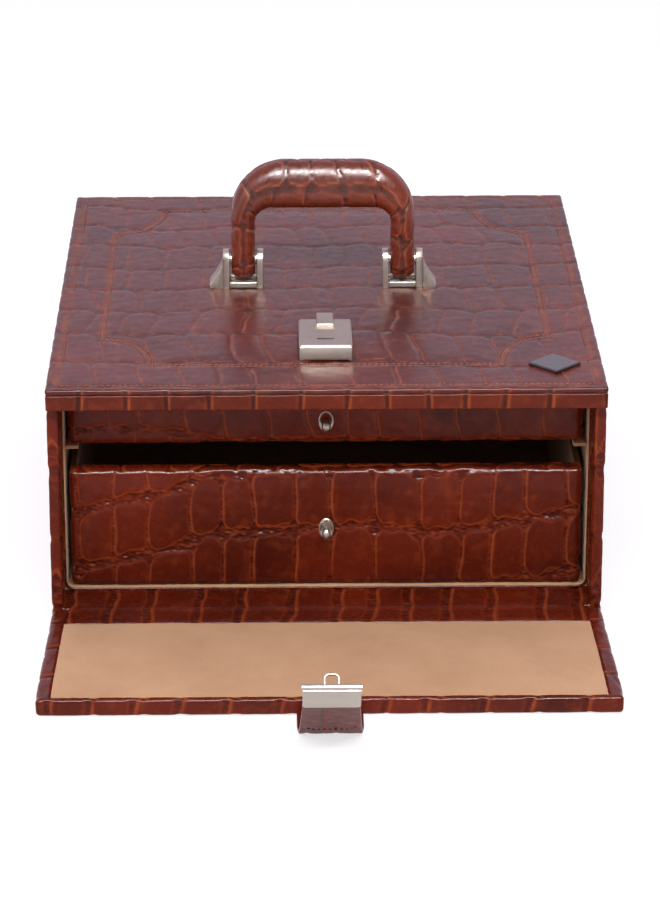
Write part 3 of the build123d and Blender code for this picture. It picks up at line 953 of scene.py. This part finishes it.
outer, inner = arch(56.0, 228.6, 34.0), arch(41.2, 199.0, 9.5)
middle = (outer + inner) / 2
half = (outer - inner) / 2
girth = np.linalg.norm(half, axis=1)
travel = np.concatenate([[0], np.cumsum(np.linalg.norm(np.diff(middle, axis=0), axis=1))])
foot_height = middle[:, 1] - leg_low
foot = 10.0  # half the handle's depth, and the radius of its rounded feet
depth = np.where(foot_height < foot, np.sqrt(np.clip(foot**2 - (foot - foot_height) ** 2, 4, foot**2)), foot)
depth = depth + 1.2 * smooth(middle[:, 1], 172, 205)
narrow = np.where(foot_height < 4.5, (girth - 4.5 + foot_height) / girth, 1.0)
sides = 72
angles = np.arange(sides) * 2 * math.pi / sides
square = 2 / (2.25 + 0.6 * np.maximum(1 - smooth(middle[:, 1:], 185, 205), np.cos(angles)[None, :] < -0.05))
cos = np.sign(np.cos(angles)) * np.abs(np.cos(angles)) ** square
sin = np.sign(np.sin(angles)) * np.abs(np.sin(angles)) ** square
wide = (girth * narrow)[:, None] * cos
deep = depth[:, None] * sin
way = half / girth[:, None]
ring_x = middle[:, :1] + way[:, :1] * wide
ring_z = middle[:, 1:] + way[:, 1:] * wide
points = np.stack([ring_x, deep, ring_z], -1)
out = np.stack([way[:, :1] * cos, sin, way[:, 1:] * cos], -1)
out /= np.linalg.norm(out, axis=-1)[..., None]
girth_mm = 62
round_mm = angles[None, :] / (2 * math.pi) * girth_mm + 0 * wide
length_mm = travel[:, None] + 0 * wide
handle_style = style(
    np.arange(-124, 190, 15.5), 20.5, 101, gaps=(0.8, 1.0), corner=3, lean=0.12, sway=0, relief=0.4, crease=0.6,
    line=0.5, rubbed=0.2,
)
h, tone, mark = embossed(length_mm, round_mm, handle_style)
seam = near(angles[None, :] - math.pi, 0.07) * smooth(middle[:, 1:], 180, 200)
points = points + out * (h - 0.5 * seam)[..., None]
rings = len(points)
index, after, quads = ring_quads(rings, sides)
quads = quads[:, [0, 3, 2, 1]]
ends = np.array([[middle[0, 0], 0, leg_low], [middle[-1, 0], 0, leg_low]])
caps = [[rings * sides, index[0, k], after[0, k]] for k in range(sides)]
caps += [[rings * sides + 1, after[-1, k], index[-1, k]] for k in range(sides)]
make(
    "handle_grip",
    np.concatenate([points.reshape(-1, 3), ends]),
    quads.tolist() + caps,
    GRIP,
    "handle",
    ["handle_leather"],
    np.concatenate([tone.ravel(), [0, 0]]),
    np.concatenate([mark.ravel(), [0, 0]]),
)

# The pins end flush with the brackets' ears, with a collar on each side of the handle's foot.
pin_points, pin_faces, start = [], [], 0
for side in (-1, 1):
    for inner_end, outer_end, radius in ((36.6, 61.0, 2.0), (40.5, 41.6, 3.3), (55.6, 56.9, 3.3)):
        path = [(side * x, 0, PIVOT_Z) for x in (inner_end, (inner_end + outer_end) / 2, outer_end)]
        points, faces = tube(path, radius, radius, 24, (0, 0, 1))
        pin_points.append(points)
        pin_faces += [[start + k for k in face] for face in faces]
        start += len(points)
pin_points = np.concatenate(pin_points)
make("handle_pin_set", pin_points, pin_faces, NICKEL, "handle", ["handle_pins"], smooth_shade=False)

# ---------------------------------------------------------------- stitching

stitch_pitch = 3.3
stitches("frame_stitches_outer", ticket_frame(-FRAME_GAP) + (0, 0, -0.3), stitch_pitch, "case", closed=True)
stitches("frame_stitches_inner", ticket_frame(0) + (0, 0, -0.22), stitch_pitch, "case", closed=True)
seam_x = HALF_WIDTH - SEAM
border = [(-seam_x, FRONT + SEAM), (seam_x, FRONT + SEAM), (seam_x, BACK - SEAM), (-seam_x, BACK - SEAM)]
stitches("edge_stitches", [(x, y, TOP - 0.3) for x, y in border], stitch_pitch, "case", closed=True)

# ---------------------------------------------------------------- metal


def bevelled(obj, width):
    """Rounds an object's sharp edges."""
    bevel = obj.modifiers.new("edges", "BEVEL")
    bevel.width = width * MM
    bevel.segments = 3
    bevel.limit_method = "ANGLE"
    bevel.angle_limit = math.radians(35)


def prisms(outlines):
    """Points and faces of flat outlines, each swept from one plane to another: (axis, low, high, outline)."""
    points, faces = [], []
    for axis, low, high, outline in outlines:
        a, b = [k for k in range(3) if k != axis]
        count, start = len(outline), len(points)
        for end in (low, high):
            for u, v in outline:
                point = [0.0, 0.0, 0.0]
                point[axis], point[a], point[b] = end, u, v
                points.append(point)
        sides = [[k, (k + 1) % count, (k + 1) % count + count, k + count] for k in range(count)]
        for face in sides + [list(range(count))[::-1], list(range(count, 2 * count))]:
            faces.append([start + k for k in face])
    return np.array(points), faces


def metal_piece(name, outlines, body, replaced, edge, warp=None):
    """A plated piece made of swept outlines with rounded edges."""
    points, faces = prisms(outlines)
    if warp:
        points = warp(points)
    obj = make(name, points, faces, NICKEL, body, replaced, smooth_shade=False)
    obj.data.update()
    mesh = bmesh.new()
    mesh.from_mesh(obj.data)
    bmesh.ops.recalc_face_normals(mesh, faces=mesh.faces)
    mesh.to_mesh(obj.data)
    mesh.free()
    bevelled(obj, edge)
    for face in obj.data.polygons:
        face.use_smooth = True
    return obj


def turned(profile, centre, width, height, sides=40):
    """Points and faces turned about an axis along Y from (share of the radius, y) pairs, oval if wanted."""
    angles = np.arange(sides) * 2 * math.pi / sides
    across, up = width * np.cos(angles), height * np.sin(angles)
    rings = [np.column_stack([centre[0] + r * across, np.full(sides, y), centre[1] + r * up]) for r, y in profile]
    index, _, quads = ring_quads(len(rings), sides)
    return np.concatenate(rings), quads.tolist() + [index[0][::-1].tolist(), index[-1].tolist()]


# The lock's cover keeps its CAD shape, with a sloped front plate on two small feet.
for name in ("lock_case", "lock_slider"):
    bevelled(frame["nodes"][name], 0.6)
bevelled(frame["nodes"]["badge"], 0.35)
half, low, high = LOCK_HIGH[0] - 0.2, LOCK_LOW[2], LOCK_HIGH[2]
curve = [(x, low + 1.1 - 0.5 * (x / half) ** 2) for x in np.linspace(-half + 2.2, half - 2.2, 9)]
outline = [(-half, low), (-half + 1.8, low)] + curve + [(half - 1.8, low), (half, low)]
outline += [(half, high - 0.7), (-half, high - 0.7)]


def sloped(points):
    """The plate's lower edge stands further out than its upper edge."""
    x, y, z = points.T
    return np.column_stack([x, y - 0.1 * (LOCK_HIGH[2] - z) + 0.2, z])


metal_piece("lock_front_plate", [(1, LOCK_LOW[1] - 0.9, LOCK_LOW[1] + 0.5, outline)], "case", (), 0.3, warp=sloped)

# The lock's spring: a few turns of wire.
spring_low, spring_high = node_box("lock_spring")
wire, turns = 0.3, 6
turn = np.linspace(0, 2 * math.pi * turns, 24 * turns + 1)
radius = (spring_high[0] - spring_low[0]) / 2 - wire
coil = np.column_stack(
    [
        radius * np.cos(turn),
        np.linspace(spring_low[1] + wire, spring_high[1] - wire, len(turn)),
        (spring_low[2] + spring_high[2]) / 2 + radius * np.sin(turn),
    ]
)
points, faces = tube(coil, wire, wire, 8, (0, 1, 0))
spring = make("lock_coil", points, faces, STEEL, "case", ["lock_spring"])
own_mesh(spring)



def narrowed(points):
    """The bracket's wing gets narrower towards its top."""
    x, y, z = points.T
    return np.column_stack([x, y * (1 - 0.012 * np.clip(z - TOP, 0, 30) * (np.abs(x) > 61.05)), z])


# Brackets: two ears rounded about the pin, a sill between them and a wing that flares out to the foot.
for side, word in ((-1, "left"), (1, "right")):
    ear = [(-6.3 * math.cos(a), PIVOT_Z + 6.3 * math.sin(a)) for a in np.linspace(0, math.pi, 15)]
    ear = [(-8.0, TOP)] + ear + [(8.0, TOP)]
    wing = [(61.0, TOP), (69.4, TOP), (69.4, TOP + 2.4)]
    wing += [(61.0 + 8.4 * (1 - t) ** 1.7, TOP + 2.4 + 17.6 * t) for t in np.linspace(0.08, 1, 9)]
    rect = [(40.4, TOP), (57.0, TOP), (57.0, TOP + 1.6), (40.4, TOP + 1.6)]
    sill = [(40.4, TOP), (57.0, TOP), (57.0, TOP + 4.2), (40.4, TOP + 4.2)]
    pieces = [
        (0, side * 36.4, side * 40.4, ear),
        (0, side * 57.0, side * 61.1, ear),
        (1, -8.0, 8.0, [(side * x, z) for x, z in rect]),
        (1, -8.0, -5.4, [(side * x, z) for x, z in sill]),
        (1, 5.4, 8.0, [(side * x, z) for x, z in sill]),
    ]
    pieces.append((1, -7.6, 7.6, [(side * x, z) for x, z in wing]))
    metal_piece(f"{word}_bracket", pieces, "case", [f"{word}_handle_bracket"], 0.45, warp=narrowed)

# The hasp's plate on the tongue's outer face, with a rolled end that is slightly wider.
plate_half, plate_start, plate_end = 15.6, 45.8, 72.8
quarter = np.linspace(0, math.pi / 2, 6)
corner = [(-plate_half + 2.4 * (1 - math.cos(a)), plate_start + 2.4 * (1 - math.sin(a))) for a in quarter]
outline = corner + [(-x, s) for x, s in corner[::-1]] + [(plate_half, plate_end - 1.4), (-plate_half, plate_end - 1.4)]
roll = [(plate_end - 1.9 + 1.9 * math.cos(a), -1.3 + 1.9 * math.sin(a)) for a in np.linspace(0, 2 * math.pi, 25)[:-1]]
tab_start, tab_end = plate_end - 19, plate_end - 2.4
tab = [(-plate_half, tab_start), (plate_half, tab_start), (plate_half, tab_end), (-plate_half, tab_end)]
pieces = [(2, -3.6, -2.4, outline), (2, -0.1, 0.25, tab), (0, -plate_half - 0.5, plate_half + 0.5, roll)]
metal_piece("hasp_cover", pieces, "strap", ["hasp_plate"], 0.25, warp=on_tongue)
holes = [(x, 8.5 + 5.0 * smooth(abs(x), 9, 15) * (1 if x > 0 else 0.5), -2.85) for x in np.linspace(-13.5, 14.5, 40)]
stitches("tongue_stitches", on_tongue(holes), 2.9, "strap", up=-INWARD, size=(0.85, 0.45, 0.3), material=DARK_THREAD)

# Knobs: an oval rosette with a raised rim, a neck and a long drop.
for word in ("lower", "upper"):
    low, high = node_box(f"{word}_knob_rosette")
    middle = ((low[0] + high[0]) / 2, (low[2] + high[2]) / 2)
    back, front = high[1], low[1]
    dish = [(0.98, back), (1.0, back - 0.8), (0.97, front + 0.3), (0.9, front), (0.82, front + 0.05)]
    dish += [(0.74, front + 0.5), (0.5, front + 0.95), (0.2, front + 1.0)]
    points, faces = turned(dish, middle, (high[0] - low[0]) / 2, (high[2] - low[2]) / 2, 56)
    make(f"{word}_rosette", points, faces, NICKEL, f"{word}_drawer", [f"{word}_knob_rosette"])
    reach = node_box(f"{word}_knob")[0][1]
    drop = [(0.55, back - 2), (0.42, front - 1.5), (0.4, reach + 5.2)]
    drop += [(max(0.06, math.sin(a)), reach + 2.6 * (1 + math.cos(a))) for a in np.linspace(0.45, math.pi, 16)]
    points, faces = turned(drop, middle, 2.6, 3.7, 40)
    make(f"{word}_pull", points, faces, NICKEL, f"{word}_drawer", [f"{word}_knob"])

# ---------------------------------------------------------------- camera, floor and light

camera = bpy.data.cameras.new("camera")
camera.lens = 145.01
camera.sensor_width = 36
camera.clip_start = 0.05
eye = bpy.data.objects.new("camera", camera)
eye.location = (-0.0268, -2.1112, 0.8636)
eye.rotation_euler = (math.radians(90 - 21.324), 0, math.radians(-0.848))
bpy.context.scene.collection.objects.link(eye)
bpy.context.scene.camera = eye

floor_mesh = bpy.data.meshes.new("floor")
floor_mesh.from_pydata([(-6, -6, 0), (6, -6, 0), (6, 6, 0), (-6, 6, 0)], [], [(0, 1, 2, 3)])
floor = bpy.data.objects.new("floor", floor_mesh)
floor.location.z = -0.0004
bpy.context.scene.collection.objects.link(floor)
paper = Nodes("white_floor")
paper.set(Base_Color=(0.45, 0.45, 0.45, 1), Roughness=1.0, Specular_IOR_Level=0.0)
paper.set(Emission_Color=(1, 1, 1, 1), Emission_Strength=0.68)
floor_mesh.materials.append(paper.material)

world = bpy.data.worlds.new("studio")
world.use_nodes = True
bpy.context.scene.world = world
tree = world.node_tree
direction = tree.nodes.new("ShaderNodeTexCoord").outputs["Generated"]
parts = tree.nodes.new("ShaderNodeSeparateXYZ")
tree.links.new(direction, parts.inputs[0])


def world_fit(value, low, high, to_low, to_high):
    node = tree.nodes.new("ShaderNodeMapRange")
    node.interpolation_type = "SMOOTHSTEP"
    for key, number in zip(("From Min", "From Max", "To Min", "To Max"), (low, high, to_low, to_high)):
        node.inputs[key].default_value = number
    tree.links.new(value, node.inputs["Value"])
    return node.outputs["Result"]


behind = world_fit(parts.outputs["Y"], -0.3, 0.6, 0.32, 0.95)
above = world_fit(parts.outputs["Z"], -0.1, 0.05, 0.3, 1.0)
product = tree.nodes.new("ShaderNodeMath")
product.operation = "MULTIPLY"
tree.links.new(behind, product.inputs[0])
tree.links.new(above, product.inputs[1])
background = tree.nodes["Background"]
background.inputs["Color"].default_value = (1.0, 0.9, 1.08, 1)
tree.links.new(product.outputs[0], background.inputs["Strength"])
paper_white = tree.nodes.new("ShaderNodeBackground")
paper_white.inputs["Strength"].default_value = 1.05
seen = tree.nodes.new("ShaderNodeMixShader")
tree.links.new(tree.nodes.new("ShaderNodeLightPath").outputs["Is Camera Ray"], seen.inputs[0])
tree.links.new(background.outputs[0], seen.inputs[1])
tree.links.new(paper_white.outputs[0], seen.inputs[2])
tree.links.new(seen.outputs[0], tree.nodes["World Output"].inputs["Surface"])


def softbox(name, place, target, size, power):
    """A rectangular area light that faces a point."""
    light = bpy.data.lights.new(name, "AREA")
    light.shape = "RECTANGLE"
    light.size, light.size_y = size
    light.energy = power
    lamp = bpy.data.objects.new(name, light)
    lamp.location = place
    way = np.array(target) - np.array(place)
    lamp.rotation_euler = (math.atan2(math.hypot(way[0], way[1]), -way[2]), 0, math.atan2(-way[0], way[1]))
    bpy.context.scene.collection.objects.link(lamp)
    return lamp


softbox("front_strip", (0.1, -1.6, 1.75), (0, -0.15, 0.1), (1.6, 0.25), 36)
softbox("left_fill", (-1.7, -0.9, 0.9), (0, 0, 0.1), (0.9, 1.2), 8)
glint = softbox("front_glint", (0.1, -1.7, 1.85), (0, -0.15, 0.1), (1.5, 0.3), 145)
glint.visible_diffuse = False
bpy.context.scene.view_settings.view_transform = "Standard"
